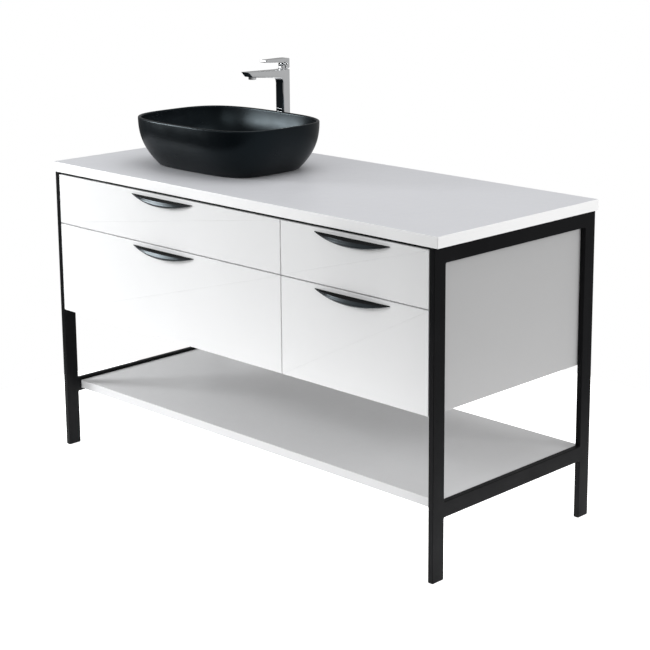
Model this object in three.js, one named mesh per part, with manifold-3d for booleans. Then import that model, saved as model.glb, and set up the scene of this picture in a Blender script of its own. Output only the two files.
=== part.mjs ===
// Bathroom vanity: a long white worktop and four drawers in a black steel frame, with an open
// shelf below, a black vessel basin with its waste and trap, and a chrome single-lever mixer.
// Millimetres. +X runs along the worktop, the front faces -Y and +Z is up. The floor is z = 0,
// and the origin lies under the middle of the whole unit, handles included.
import * as THREE from "three";
import { mergeVertices } from "three/addons/utils/BufferGeometryUtils.js";
import Module from "manifold-3d";

const wasm = await Module();
wasm.setup();

// ---------------------------------------------------------------- driving dimensions

const seat = 0.3; // gap left between pieces that touch

// Worktop
const topLength = 1400;
const topDepth = 584;
const topThickness = 27;
const topSurface = 807; // height of its upper face

// Steel frame: two welded side frames joined by two flat cross rails
const tubeWidth = 15;
const tubeDepth = 38;
const tubeWall = 1.5;
const endOverhang = 9; // worktop beyond each side frame
const lowerRailUnderside = 150;
const footThickness = 3;
const footPlugDepth = 25;
const footPlugClearance = 0.4;

// Open shelf
const shelfThickness = 23;
const shelfBelowRailTop = 7.5;
const shelfSetback = 47;
const shelfRearGap = 10;

// Carcass
const boardThickness = 16;
const backThickness = 8;
const backInset = 12;
const carcassRearGap = 10;
const stretcherDepth = 100;

// Drawer fronts
const frontThickness = 18;
const frontGap = 3; // between neighbouring fronts, and beside the legs
const bumperGap = 2; // between a closed front and the carcass
const shadowGap = 6; // between the upper fronts and the worktop
const upperFrontHeight = 133.5;
const lowerFrontHeight = 243;
const leftColumnWidth = 878;

// Drawer boxes and runners
const boxWall = 12;
const boxBaseThickness = 6;
const boxBaseRise = 8;
const boxLift = 14; // box underside above the lower edge of an upper front
const boxHeadroom = 6; // box top below the stretcher or below the drawer above
const lowerBoxHeadroom = 46;
const serviceSpace = 60; // between the boxes and the back panel
const runnerSpace = 13; // between a box and the carcass
const runnerHeight = 42;
const runnerWall = 1.6;
const runnerShortfall = 14; // runner ends short of the box at the rear

// Crescent handles
const handleLength = 240;
const handleReach = 17;
const handleDrop = 19;
const handleRimDrop = 4.5;
const handleWall = 2.2;
const handleTip = 1.4;
const handleBelowEdge = 10;

// Vessel basin
const basinFromLeft = 403; // worktop's left end to the basin's centre
const basinFromRear = 303; // worktop's rear edge to the basin's centre
const basinLength = 490;
const basinWidth = 360;
const basinHeight = 130;
const basinFootLength = 372;
const basinFootWidth = 262;
const basinRim = 7;
const basinFloor = 12;
const basinFloorFall = 6;
const basinWallCurve = 2.4; // how late the wall turns upright
const basinRimSquareness = 3.3;
const basinFootSquareness = 3.8;

// Waste and trap
const wasteRadius = 20;
const wasteBore = 17.4;
const wasteFlangeRadius = 31;
const wasteFlangeThickness = 2.4;
const wasteTail = 44; // tail below the worktop
const wasteHoleClearance = 1.5;
const plugRadius = 30;
const plugThickness = 3.5;
const plugStemRadius = 5;
const wasteNutFlats = 56;
const nutThickness = 11;
const threadClearance = 0.4;
const trapRadius = 30;
const trapWall = 2.5;
const trapNeckRadius = 16;
const trapCollarRadius = 25;
const trapCollarHeight = 22;
const trapNeckHeight = 18;
const trapBottleHeight = 66;
const trapCupHeight = 34;
const trapOutletDrop = 22; // outlet axis below the bottle's shoulder
const outletStub = 52;
const outletCollarLength = 18;
const trapClearance = 14; // free space kept round the trap

// Service cut-out in the back panel, round the outlet pipe
const serviceCutWidth = 240;
const serviceCutHeight = 104;

// Mixer
const columnWidth = 34;
const columnDepth = 28;
const columnCorner = 7;
const columnHeight = 243;
const mixerBehindBasin = 8; // between the basin's rim and the column
const mixerBaseRadius = 25;
const mixerBaseThickness = 5;
const spoutReach = 125;
const spoutRootThickness = 21;
const spoutTipThickness = 14;
const spoutRise = 3;
const spoutTipSlant = 13;
const spoutFillet = 14;
const spoutWidth = 32;
const aeratorRadius = 10.5;
const aeratorHeight = 13;
const aeratorSocket = 7;
const aeratorFromTip = 27;
const shankRadius = 16;
const shankTail = 34;
const shankHoleClearance = 1.5;
const mixerNutFlats = 44;
const domeRadius = 11.5;
const domePivotRise = 5; // lever pivot above the column
const domeClearance = 0.6;
const leverTop = 30; // lever's upper face above the column
const leverRootThickness = 10;
const leverTipThickness = 6;
const leverReach = 59;
const leverTipWidth = 26;
const leverSkirtLift = 6;

// ---------------------------------------------------------------- finishes

const finishes = {
  whiteLacquer: { color: 0xf3f3f4, roughness: 0.5, metalness: 0 },
  paleLaminate: { color: 0xd2d3d6, roughness: 0.45, metalness: 0 },
  blackSteel: { color: 0x131416, roughness: 0.5, metalness: 0.4 },
  blackPlastic: { color: 0x101010, roughness: 0.7, metalness: 0 },
  greyBoard: { color: 0xc9c8c4, roughness: 0.7, metalness: 0 },
  zincSteel: { color: 0xa9adb0, roughness: 0.35, metalness: 0.9 },
  blackGloss: { color: 0x0c0e11, roughness: 0.2, metalness: 0.5 },
  blackCeramic: { color: 0x191c1f, roughness: 0.4, metalness: 0 },
  chrome: { color: 0xd6d9dc, roughness: 0.08, metalness: 1 },
};

// ---------------------------------------------------------------- geometry helpers

// A closed geometry as a solid, turned to face outwards.
function toSolid(geometry) {
  const bare = new THREE.BufferGeometry();
  bare.setAttribute("position", geometry.getAttribute("position"));
  bare.setIndex(geometry.index);
  const merged = mergeVertices(bare, 1e-4);
  const corners = merged.index.array;
  const triVerts = [];
  for (let i = 0; i < corners.length; i += 3) {
    const [a, b, c] = corners.slice(i, i + 3);
    if (a !== b && b !== c && c !== a) triVerts.push(a, b, c);
  }
  const make = (order) =>
    new wasm.Manifold(
      new wasm.Mesh({
        numProp: 3,
        vertProperties: merged.getAttribute("position").array,
        triVerts: Uint32Array.from(order),
      }),
    );
  const solid = make(triVerts);
  return solid.volume() > 0 ? solid : make(triVerts.reverse());
}

function fromSolid(solid) {
  const mesh = solid.getMesh();
  const geometry = new THREE.BufferGeometry();
  geometry.setAttribute("position", new THREE.BufferAttribute(mesh.vertProperties, 3));
  geometry.setIndex(new THREE.BufferAttribute(mesh.triVerts, 1));
  geometry.computeVertexNormals();
  return geometry;
}

function join(...geometries) {
  return fromSolid(geometries.map(toSolid).reduce((whole, next) => whole.add(next)));
}

function cut(geometry, ...tools) {
  return fromSolid(tools.map(toSolid).reduce((rest, tool) => rest.subtract(tool), toSolid(geometry)));
}

function block(x0, x1, y0, y1, z0, z1) {
  const geometry = new THREE.BoxGeometry(x1 - x0, y1 - y0, z1 - z0);
  return geometry.translate((x0 + x1) / 2, (y0 + y1) / 2, (z0 + z1) / 2);
}

// An outline in plan, with an optional hole, extruded up from z0.
function prism(outline, z0, height, hole) {
  const shape = new THREE.Shape(outline);
  if (hole) shape.holes.push(new THREE.Path(hole));
  const geometry = new THREE.ExtrudeGeometry(shape, { depth: height, bevelEnabled: false });
  return geometry.translate(0, 0, z0);
}

function rectangle(width, depth) {
  const [x, y] = [width / 2, depth / 2];
  return [new THREE.Vector2(-x, -y), new THREE.Vector2(x, -y), new THREE.Vector2(x, y), new THREE.Vector2(-x, y)];
}

function circle(radius, steps = 32) {
  return ringPoints(radius, radius, 2, 0, steps).map((p) => new THREE.Vector2(p.x, p.y));
}

function hexagon(flats) {
  return circle(flats / Math.sqrt(3), 6);
}

// Radius and height pairs turned round the Z axis; they close on themselves or end on the axis.
function turned(profile, steps = 32) {
  const points = profile.map(([radius, height]) => new THREE.Vector2(radius, height));
  return fromSolid(toSolid(new THREE.LatheGeometry(points, steps).rotateX(Math.PI / 2)));
}

function pipe(outerRadius, innerRadius, z0, z1, steps = 32) {
  return turned(
    [
      [innerRadius, z0],
      [outerRadius, z0],
      [outerRadius, z1],
      [innerRadius, z1],
      [innerRadius, z0],
    ],
    steps,
  );
}

function rod(radius, z0, z1, steps = 32) {
  const geometry = new THREE.CylinderGeometry(radius, radius, z1 - z0, steps);
  return geometry.rotateX(Math.PI / 2).translate(0, 0, (z0 + z1) / 2);
}

// One ring of a rounded rectangle; squareness 2 is an ellipse and higher values are squarer.
function ringPoints(halfLength, halfWidth, squareness, z, steps) {
  const along = (value, half) => half * Math.sign(value) * Math.abs(value) ** (2 / squareness);
  return Array.from({ length: steps }, (_, i) => {
    const angle = (2 * Math.PI * i) / steps;
    return new THREE.Vector3(along(Math.cos(angle), halfLength), along(Math.sin(angle), halfWidth), z);
  });
}

// A skin over rings with equal numbers of points, closed by end caps or back onto its first ring.
function loft(rings, closed = false) {
  const count = rings[0].length;
  const positions = rings.flat().flatMap((p) => [p.x, p.y, p.z]);
  const index = [];
  const bands = closed ? rings.length : rings.length - 1;
  for (let band = 0; band < bands; band++) {
    const next = (band + 1) % rings.length;
    for (let i = 0; i < count; i++) {
      const [a, b] = [band * count + i, band * count + ((i + 1) % count)];
      const [c, d] = [next * count + i, next * count + ((i + 1) % count)];
      index.push(a, b, d, a, d, c);
    }
  }
  if (!closed) {
    const last = (rings.length - 1) * count;
    for (let i = 1; i < count - 1; i++) index.push(0, i + 1, i, last, last + i, last + i + 1);
  }
  const geometry = new THREE.BufferGeometry();
  geometry.setAttribute("position", new THREE.Float32BufferAttribute(positions, 3));
  geometry.setIndex(index);
  return fromSolid(toSolid(geometry));
}

// ---------------------------------------------------------------- scene graph

const unit = new THREE.Group();
unit.position.y = handleReach / 2; // the handles stand out at the front

function piece(name, geometry, finish, parent = unit) {
  const mesh = new THREE.Mesh(geometry, new THREE.MeshStandardMaterial(finishes[finish]));
  mesh.name = name;
  parent.add(mesh);
}

function groupAt(x, y, z) {
  const group = new THREE.Group();
  group.position.set(x, y, z);
  unit.add(group);
  return group;
}

// Places that several pieces share, in the worktop's own frame (y = 0 at its middle)
const frontY = -topDepth / 2;
const rearY = topDepth / 2;
const topUnderside = topSurface - topThickness;
const frameHalf = topLength / 2 - endOverhang; // outer face of a side frame
const innerHalf = frameHalf - tubeWidth; // inner face of a side frame
const frameTop = topUnderside - seat;
const lowerRailTop = lowerRailUnderside + tubeDepth;
const carcassFrontY = frontY + frontThickness + bumperGap;
const carcassRearY = rearY - carcassRearGap;
const carcassTop = frameTop - tubeWidth - seat; // under the cross rails
const upperFrontTop = topUnderside - shadowGap;
const upperFrontBottom = upperFrontTop - upperFrontHeight;
const lowerFrontTop = upperFrontBottom - frontGap;
const carcassBottom = lowerFrontTop - lowerFrontHeight;
const sideOuter = innerHalf - seat;
const sideInner = sideOuter - boardThickness;
const columnSplit = -innerHalf + leftColumnWidth; // middle of the gap between the columns
const partitionLeft = columnSplit - boardThickness / 2;
const partitionRight = columnSplit + boardThickness / 2;
const backFrontY = carcassRearY - backInset - backThickness;
const stretcherBottom = carcassTop - boardThickness;
const basinX = -topLength / 2 + basinFromLeft;
const basinY = rearY - basinFromRear;
const mixerY = basinY + basinWidth / 2 + mixerBehindBasin + columnDepth / 2;
const wasteTailBottom = topUnderside - wasteTail;
const trapShoulder = wasteTailBottom - trapNeckHeight;
const trapBottleBottom = trapShoulder - trapBottleHeight;
const trapBottom = trapBottleBottom - trapCupHeight;
const outletZ = trapShoulder - trapOutletDrop;

// ---------------------------------------------------------------- steel frame

// A length of rectangular tube along +Z, open at both ends.
function tube(length) {
  const bore = rectangle(tubeWidth - 2 * tubeWall, tubeDepth - 2 * tubeWall);
  return prism(rectangle(tubeWidth, tubeDepth), 0, length, bore);
}

function footCap(x, y) {
  const inset = 2 * (tubeWall + footPlugClearance);
  const flange = prism(rectangle(tubeWidth, tubeDepth), 0, footThickness);
  const plug = prism(rectangle(tubeWidth - inset, tubeDepth - inset), footThickness / 2, footPlugDepth);
  return join(flange, plug).translate(x, y, 0);
}

function sideFrame(side, sign) {
  const x = sign * (frameHalf - tubeWidth / 2);
  const legBottom = footThickness + seat;
  const railLength = topDepth - 2 * (tubeDepth + seat);
  const rail = (centreZ) => tube(railLength).rotateX(-Math.PI / 2).translate(x, -railLength / 2, centreZ);
  for (const [end, y] of [["front", frontY + tubeDepth / 2], ["rear", rearY - tubeDepth / 2]]) {
    piece(`${side}_${end}_leg`, tube(frameTop - legBottom).translate(x, y, legBottom), "blackSteel");
    piece(`${side}_${end}_foot_cap`, footCap(x, y), "blackPlastic");
  }
  piece(`${side}_top_rail`, rail(frameTop - tubeDepth / 2), "blackSteel");
  piece(`${side}_lower_rail`, rail(lowerRailUnderside + tubeDepth / 2), "blackSteel");
}

function crossRail(name, centreY) {
  const length = 2 * (innerHalf - seat);
  const lying = tube(length).rotateY(Math.PI / 2);
  piece(name, lying.translate(-length / 2, centreY, frameTop - tubeWidth / 2), "blackSteel");
}

sideFrame("left", -1);
sideFrame("right", 1);
crossRail("front_cross_rail", carcassFrontY + tubeDepth / 2);
crossRail("rear_cross_rail", rearY - tubeDepth / 2);

// ---------------------------------------------------------------- worktop and shelf

const worktopSlab = block(-topLength / 2, topLength / 2, frontY, rearY, topUnderside, topSurface);
const wasteHole = rod(wasteRadius + wasteHoleClearance, topUnderside - 1, topSurface + 1);
const mixerHole = rod(shankRadius + shankHoleClearance, topUnderside - 1, topSurface + 1);
const worktop = cut(worktopSlab, wasteHole.translate(basinX, basinY, 0), mixerHole.translate(basinX, mixerY, 0));
piece("worktop", worktop, "paleLaminate");

const shelfTop = lowerRailTop - shelfBelowRailTop;
const shelf = block(-sideOuter, sideOuter, frontY + shelfSetback, rearY - shelfRearGap, shelfTop - shelfThickness, shelfTop);
piece("shelf", shelf, "paleLaminate");

// ---------------------------------------------------------------- carcass

const bottomTop = carcassBottom + boardThickness;
const partitionBottom = bottomTop + seat;
const partitionTop = stretcherBottom - seat;
for (const [side, x] of [["left", -sideOuter], ["right", sideInner]]) {
  const panel = block(x, x + boardThickness, carcassFrontY, carcassRearY, carcassBottom, carcassTop);
  piece(`carcass_${side}_side`, panel, "paleLaminate");
}
const betweenSides = sideInner - seat;
const bottomRearY = backFrontY - seat;
const bottomPanel = block(-betweenSides, betweenSides, carcassFrontY, bottomRearY, carcassBottom, bottomTop);
piece("carcass_bottom", bottomPanel, "paleLaminate");
const partition = block(partitionLeft, partitionRight, carcassFrontY, bottomRearY, partitionBottom, partitionTop);
piece("carcass_partition", partition, "greyBoard");
const stretcherRearY = carcassFrontY + stretcherDepth;
const stretcher = block(-betweenSides, betweenSides, carcassFrontY, stretcherRearY, stretcherBottom, carcassTop);
piece("carcass_front_stretcher", stretcher, "greyBoard");

const backPanel = block(-betweenSides, betweenSides, backFrontY, backFrontY + backThickness, carcassBottom, carcassTop);
const serviceCut = block(
  basinX - serviceCutWidth / 2,
  basinX + serviceCutWidth / 2,
  backFrontY - 1,
  backFrontY + backThickness + 1,
  outletZ - serviceCutHeight / 2,
  outletZ + serviceCutHeight / 2,
);
piece("carcass_back", cut(backPanel, serviceCut), "greyBoard");

// ---------------------------------------------------------------- drawers

// A crescent cup handle: its straight back edge lies on the front, its lip bows out and down.
function handle() {
  const stations = (count, end) => Array.from({ length: count }, (_, i) => end * ((2 * i) / (count - 1) - 1));
  const bow = (s) => 1 - s * s;
  const reach = (s) => handleTip + (handleReach - handleTip) * bow(s);
  const drop = (s) => handleTip + (handleDrop - handleTip) * bow(s);
  const at = (s, y, z) => new THREE.Vector3((s * handleLength) / 2, y, z);
  const body = stations(19, 1).map((s) => [
    at(s, 0, 0),
    at(s, 0, -drop(s)),
    at(s, -0.7 * reach(s), -drop(s)),
    at(s, -reach(s), -0.7 * drop(s)),
    at(s, -reach(s), -Math.min(handleRimDrop, 0.4 * drop(s))),
  ]);
  const pocketEnd = 0.98 * Math.sqrt(1 - (2 * handleWall) / handleReach);
  const pocket = stations(13, pocketEnd).map((s) => {
    const floor = Math.min(handleWall - drop(s), -handleTip);
    return [
      at(s, -handleWall, handleWall),
      at(s, -handleWall, floor),
      at(s, handleWall - reach(s), floor),
      at(s, handleWall - reach(s), handleWall),
    ];
  });
  return cut(loft(body), loft(pocket));
}

// Plan outline of a drawer box, moved in by inset; a notch is open at the rear.
function boxOutline({ x0, x1, y0, y1, notch }, inset) {
  const [left, right, front, rear] = [x0 + inset, x1 - inset, y0 + inset, y1 - inset];
  const outline = [[left, front], [right, front], [right, rear]];
  if (notch) {
    const [notchLeft, notchRight, notchFront] = [notch.x0 - inset, notch.x1 + inset, notch.y0 - inset];
    outline.push([notchRight, rear], [notchRight, notchFront], [notchLeft, notchFront], [notchLeft, rear]);
  }
  outline.push([left, rear]);
  return outline.map(([x, y]) => new THREE.Vector2(x, y));
}

// Channel of a drawer runner along +Y, open towards +X.
function runner(length) {
  const [width, height, wall] = [runnerSpace - 2 * seat, runnerHeight, runnerWall];
  const lip = [[0, 0], [width, 0], [width, wall], [wall, wall]];
  const section = [...lip, ...lip.map(([x, y]) => [x, height - y]).reverse()];
  const outline = section.map(([x, y]) => new THREE.Vector2(x, y));
  return prism(outline, 0, length).rotateX(Math.PI / 2).translate(0, length, -height / 2);
}

function drawer(name, { frontX0, frontX1, frontZ0, frontZ1, insideX0, insideX1, boxZ0, boxZ1, notch }) {
  const panel = block(frontX0, frontX1, frontY, frontY + frontThickness, frontZ0, frontZ1);
  piece(`${name}_front`, panel, "whiteLacquer");
  const handleX = (frontX0 + frontX1) / 2;
  const pull = handle().translate(handleX, frontY - seat, frontZ1 - handleBelowEdge);
  piece(`${name}_handle`, pull, "blackGloss");

  const plan = {
    x0: insideX0 + runnerSpace,
    x1: insideX1 - runnerSpace,
    y0: frontY + frontThickness + seat,
    y1: backFrontY - serviceSpace,
    notch,
  };
  const walls = prism(boxOutline(plan, 0), boxZ0, boxZ1 - boxZ0, boxOutline(plan, boxWall));
  piece(`${name}_box`, walls, "greyBoard");
  const base = prism(boxOutline(plan, boxWall + seat), boxZ0 + boxBaseRise, boxBaseThickness);
  piece(`${name}_base`, base, "greyBoard");

  const runnerStart = carcassFrontY + seat;
  const runnerLength = plan.y1 - runnerShortfall - runnerStart;
  const runnerZ = (boxZ0 + boxZ1) / 2;
  const leftRunner = runner(runnerLength).translate(insideX0 + seat, runnerStart, runnerZ);
  const turnedRunner = runner(runnerLength).rotateZ(Math.PI);
  const rightRunner = turnedRunner.translate(insideX1 - seat, runnerStart + runnerLength, runnerZ);
  piece(`${name}_runner_left`, leftRunner, "zincSteel");
  piece(`${name}_runner_right`, rightRunner, "zincSteel");
}

const notchHalf = trapRadius + trapClearance;
const trapNotch = { x0: basinX - notchHalf, x1: basinX + notchHalf, y0: basinY - notchHalf };
const columns = {
  left: {
    frontX0: -innerHalf + frontGap / 2,
    frontX1: columnSplit - frontGap / 2,
    insideX0: -sideInner,
    insideX1: partitionLeft,
  },
  right: {
    frontX0: columnSplit + frontGap / 2,
    frontX1: innerHalf - frontGap / 2,
    insideX0: partitionRight,
    insideX1: sideInner,
  },
};
const lowerBoxTop = Math.min(lowerFrontTop - lowerBoxHeadroom, trapBottom - trapClearance);
const rows = {
  top: {
    frontZ0: upperFrontBottom,
    frontZ1: upperFrontTop,
    boxZ0: upperFrontBottom + boxLift,
    boxZ1: stretcherBottom - boxHeadroom,
  },
  bottom: {
    frontZ0: carcassBottom,
    frontZ1: lowerFrontTop,
    boxZ0: bottomTop + boxHeadroom,
    boxZ1: lowerBoxTop,
  },
};
for (const [side, column] of Object.entries(columns)) {
  for (const [level, row] of Object.entries(rows)) {
    const notch = side === "left" && level === "top" ? trapNotch : undefined;
    drawer(`${level}_${side}_drawer`, { ...column, ...row, notch });
  }
}

// ---------------------------------------------------------------- basin

// Heights here are above the basin's own underside. The wall runs up outside, over the rim and
// down inside to the drain hole, which leads back to the underside.
function basin() {
  const steps = 48;
  const holeRadius = wasteRadius + wasteHoleClearance;
  const mix = (from, to, share) => from + (to - from) * share;
  const wallRing = (height, share, inset) => {
    const turn = (1 - share) ** basinWallCurve;
    const halfLength = mix(basinLength, basinFootLength, turn) / 2 - inset;
    const halfWidth = mix(basinWidth, basinFootWidth, turn) / 2 - inset;
    return ringPoints(halfLength, halfWidth, mix(basinRimSquareness, basinFootSquareness, turn), height, steps);
  };
  const floorEdge = basinFloor + basinFloorFall;
  const shares = [0, 0.07, 0.16, 0.28, 0.42, 0.6, 0.8];
  const outside = shares.map((share) => wallRing(share * basinHeight, share, 0));
  const rim = [
    wallRing(0.985 * basinHeight, 0.985, 0),
    wallRing(basinHeight, 1, 0.3 * basinRim),
    wallRing(basinHeight, 1, 0.7 * basinRim),
    wallRing(0.985 * basinHeight, 0.985, basinRim),
  ];
  const wallThickness = (share) => mix(2 * basinRim, basinRim, share);
  const insideRing = (share) => wallRing(mix(floorEdge, basinHeight, share), share, wallThickness(share));
  const inside = shares.toReversed().map(insideRing);
  const drain = [
    ringPoints(0.62 * (basinFootLength / 2), 0.62 * (basinFootWidth / 2), 2.6, mix(basinFloor, floorEdge, 0.4), steps),
    ringPoints(wasteFlangeRadius + 6, wasteFlangeRadius + 6, 2, basinFloor, steps),
    ringPoints(holeRadius, holeRadius, 2, basinFloor, steps),
    ringPoints(holeRadius, holeRadius, 2, 0, steps),
  ];
  return loft([...outside, ...rim, ...inside, ...drain], true);
}

const basinGroup = groupAt(basinX, basinY, topSurface + seat);
piece("basin", basin(), "blackCeramic", basinGroup);

// ---------------------------------------------------------------- waste

const flangeBottom = basinFloor + seat;
const flangeTop = flangeBottom + wasteFlangeThickness;
const tailBottom = wasteTailBottom - topSurface - seat; // in the basin's frame
const spiderTop = -10;
const spiderThickness = 6;

function wasteBody() {
  const shell = turned([
    [wasteBore, tailBottom],
    [wasteRadius, tailBottom],
    [wasteRadius, flangeBottom],
    [wasteFlangeRadius, flangeBottom],
    [wasteFlangeRadius - 1, flangeTop],
    [wasteBore, flangeTop],
    [wasteBore, tailBottom],
  ]);
  const reach = wasteBore + 1;
  const bar = block(-reach, reach, -2, 2, spiderTop - spiderThickness, spiderTop);
  const hub = rod(plugStemRadius + 3, spiderTop - spiderThickness, spiderTop, 24);
  const guide = rod(plugStemRadius + threadClearance, spiderTop - 2 * spiderThickness, spiderTop + 1, 24);
  return cut(join(shell, bar, hub), guide);
}

function wastePlug() {
  const under = flangeTop + 2 * seat;
  return turned([
    [0, spiderTop - spiderThickness - 4],
    [plugStemRadius, spiderTop - spiderThickness - 4],
    [plugStemRadius, under],
    [plugRadius, under],
    [plugRadius, under + 0.4 * plugThickness],
    [0.9 * plugRadius, under + 0.8 * plugThickness],
    [0.5 * plugRadius, under + plugThickness],
    [0, under + plugThickness],
  ]);
}

function nut(flats, holeRadius, z0) {
  return prism(hexagon(flats), z0, nutThickness, circle(holeRadius + threadClearance));
}

piece("waste_body", wasteBody(), "chrome", basinGroup);
piece("waste_plug", wastePlug(), "chrome", basinGroup);
const underTop = topUnderside - topSurface - seat; // the worktop's underside in the same frame
piece("waste_nut", nut(wasteNutFlats, wasteRadius, underTop - seat - nutThickness), "chrome", basinGroup);

// ---------------------------------------------------------------- trap

const trapGroup = groupAt(basinX, basinY, 0);

// Collar round the waste's tail, neck, and a bottle that is open below, with a stub to the rear.
function trapBody() {
  const collarFloor = wasteTailBottom - seat;
  const neckBore = trapNeckRadius - trapWall;
  const bottleBore = trapRadius - trapWall;
  const collarBore = wasteRadius + threadClearance;
  const shell = turned([
    [trapRadius, trapBottleBottom],
    [trapRadius, trapShoulder - 4],
    [trapRadius - 6, trapShoulder],
    [trapNeckRadius, trapShoulder],
    [trapNeckRadius, collarFloor - trapWall],
    [trapCollarRadius, collarFloor - trapWall],
    [trapCollarRadius, collarFloor + trapCollarHeight],
    [collarBore, collarFloor + trapCollarHeight],
    [collarBore, collarFloor],
    [neckBore, collarFloor],
    [neckBore, trapShoulder - trapWall],
    [bottleBore - 6, trapShoulder - trapWall],
    [bottleBore, trapShoulder - trapWall - 4],
    [bottleBore, trapBottleBottom],
    [trapRadius, trapBottleBottom],
  ]);
  const rearward = (geometry) => geometry.rotateX(-Math.PI / 2).translate(0, 0, outletZ);
  const collarEnd = outletStub + outletCollarLength;
  const stub = rearward(rod(trapNeckRadius + trapWall, trapRadius - 4, outletStub + 1));
  const collar = rearward(rod(trapNeckRadius + 2 * trapWall, outletStub, collarEnd));
  const bore = rearward(rod(neckBore, trapRadius - 10, outletStub + 1));
  const socket = rearward(rod(trapNeckRadius + threadClearance, outletStub, collarEnd + 1));
  return cut(join(shell, stub, collar), bore, socket);
}

function trapCup() {
  const top = trapBottleBottom - seat;
  return turned([
    [0, trapBottom],
    [trapRadius - 8, trapBottom],
    [trapRadius, trapBottom + 7],
    [trapRadius, top],
    [trapRadius - trapWall, top],
    [trapRadius - trapWall, trapBottom + 8],
    [trapRadius - 10, trapBottom + trapWall],
    [0, trapBottom + trapWall],
  ]);
}

piece("trap_body", trapBody(), "chrome", trapGroup);
piece("trap_cup", trapCup(), "chrome", trapGroup);
const outletStart = outletStub + 2 * seat;
const outletLength = rearY - basinY - outletStart;
const outletPipe = pipe(trapNeckRadius, trapNeckRadius - trapWall, 0, outletLength).rotateX(-Math.PI / 2);
piece("trap_outlet", outletPipe.translate(0, outletStart, outletZ), "chrome", trapGroup);

// ---------------------------------------------------------------- mixer

const mixer = groupAt(basinX, mixerY, topSurface + seat);
const mixerTop = columnHeight - seat;
const pivotZ = mixerTop + domePivotRise;
const columnFront = -columnDepth / 2;
const tipY = columnFront - spoutReach;
const spoutTopZ = mixerTop + spoutRise;

function roundedColumn(z0, z1, cornerSteps = 4) {
  const [x, y] = [columnWidth / 2 - columnCorner, columnDepth / 2 - columnCorner];
  const shape = new THREE.Shape();
  [[x, y], [-x, y], [-x, -y], [x, -y]].forEach(([cx, cy], i) => {
    shape.absarc(cx, cy, columnCorner, (i * Math.PI) / 2, ((i + 1) * Math.PI) / 2);
  });
  const options = { depth: z1 - z0, bevelEnabled: false, curveSegments: cornerSteps };
  return new THREE.ExtrudeGeometry(shape, options).translate(0, 0, z0);
}

// Side view of the spout, with the fillet under its root, as a solid across the column.
function spout() {
  const rootZ = mixerTop - spoutRootThickness;
  const shape = new THREE.Shape();
  shape.moveTo(0, rootZ - spoutFillet);
  shape.lineTo(0, mixerTop);
  shape.lineTo(columnFront, mixerTop);
  shape.lineTo(tipY, spoutTopZ);
  shape.lineTo(tipY + spoutTipSlant, spoutTopZ - spoutTipThickness);
  shape.lineTo(columnFront - spoutFillet, rootZ);
  shape.quadraticCurveTo(columnFront, rootZ, columnFront + 1, rootZ - spoutFillet);
  const options = { depth: spoutWidth, bevelEnabled: false, curveSegments: 6 };
  const geometry = new THREE.ExtrudeGeometry(shape, options);
  // The drawing's axes (y, z) become the mixer's, and the extrusion runs along X.
  return geometry.rotateY(Math.PI / 2).rotateX(Math.PI / 2).translate(-spoutWidth / 2, 0, 0);
}

const aeratorY = tipY + aeratorFromTip;
const spoutSlope = (spoutTopZ - spoutTipThickness - mixerTop + spoutRootThickness) / (spoutReach - spoutTipSlant);
const outletUndersideZ = spoutTopZ - spoutTipThickness - spoutSlope * (aeratorFromTip - spoutTipSlant);
const socketTop = outletUndersideZ + aeratorSocket;

function mixerBody() {
  const base = rod(mixerBaseRadius, 0, mixerBaseThickness, 40);
  const shank = rod(shankRadius, underTop - shankTail, 1);
  const socket = rod(aeratorRadius + threadClearance, socketTop - 2 * aeratorSocket, socketTop);
  return cut(join(roundedColumn(0, mixerTop), spout(), base, shank), socket.translate(0, aeratorY, 0));
}

// Turret with a domed top: it turns in the column, and the lever tilts round its centre.
function turret() {
  const bottom = mixerTop + seat;
  const arc = (i) => [
    domeRadius * Math.cos((i * Math.PI) / 16),
    pivotZ + domeRadius * Math.sin((i * Math.PI) / 16),
  ];
  return turned([[0, bottom], [domeRadius, bottom], ...Array.from({ length: 8 }, (_, i) => arc(i)), [0, pivotZ + domeRadius]]);
}

function lever() {
  const top = mixerTop + leverTop;
  const underside = top - leverRootThickness;
  const skirtBottom = mixerTop + leverSkirtLift;
  const cap = roundedColumn(underside, top);
  const half = leverTipWidth / 2;
  const section = (y, halfWidth, thickness) => [
    new THREE.Vector3(-halfWidth, y, top),
    new THREE.Vector3(halfWidth, y, top),
    new THREE.Vector3(halfWidth, y, top - thickness),
    new THREE.Vector3(-halfWidth, y, top - thickness),
  ];
  const blade = loft([
    section(0, columnWidth / 2 - 1, leverRootThickness),
    section(columnFront, columnWidth / 2 - 1, leverRootThickness),
    section(columnFront - leverReach, half, leverTipThickness),
  ]);
  const skirt = cut(roundedColumn(skirtBottom, top), block(-columnWidth, columnWidth, -columnDepth, 0, 0, underside));
  const hollow = new THREE.SphereGeometry(domeRadius + domeClearance, 24, 16).rotateX(Math.PI / 2);
  return cut(join(cap, blade, skirt), hollow.translate(0, 0, pivotZ));
}

piece("mixer_body", mixerBody(), "chrome", mixer);
piece("mixer_turret", turret(), "chrome", mixer);
piece("mixer_lever", lever(), "chrome", mixer);
const aeratorTop = socketTop - seat;
const aerator = pipe(aeratorRadius, aeratorRadius - 3, aeratorTop - aeratorHeight, aeratorTop);
piece("mixer_aerator", aerator.translate(0, aeratorY, 0), "zincSteel", mixer);
piece("mixer_nut", nut(mixerNutFlats, shankRadius, underTop - seat - nutThickness), "zincSteel", mixer);

export default unit;
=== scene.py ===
import math

import bmesh
import bpy
from mathutils import Matrix, Vector
from mathutils.geometry import tessellate_polygon


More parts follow.
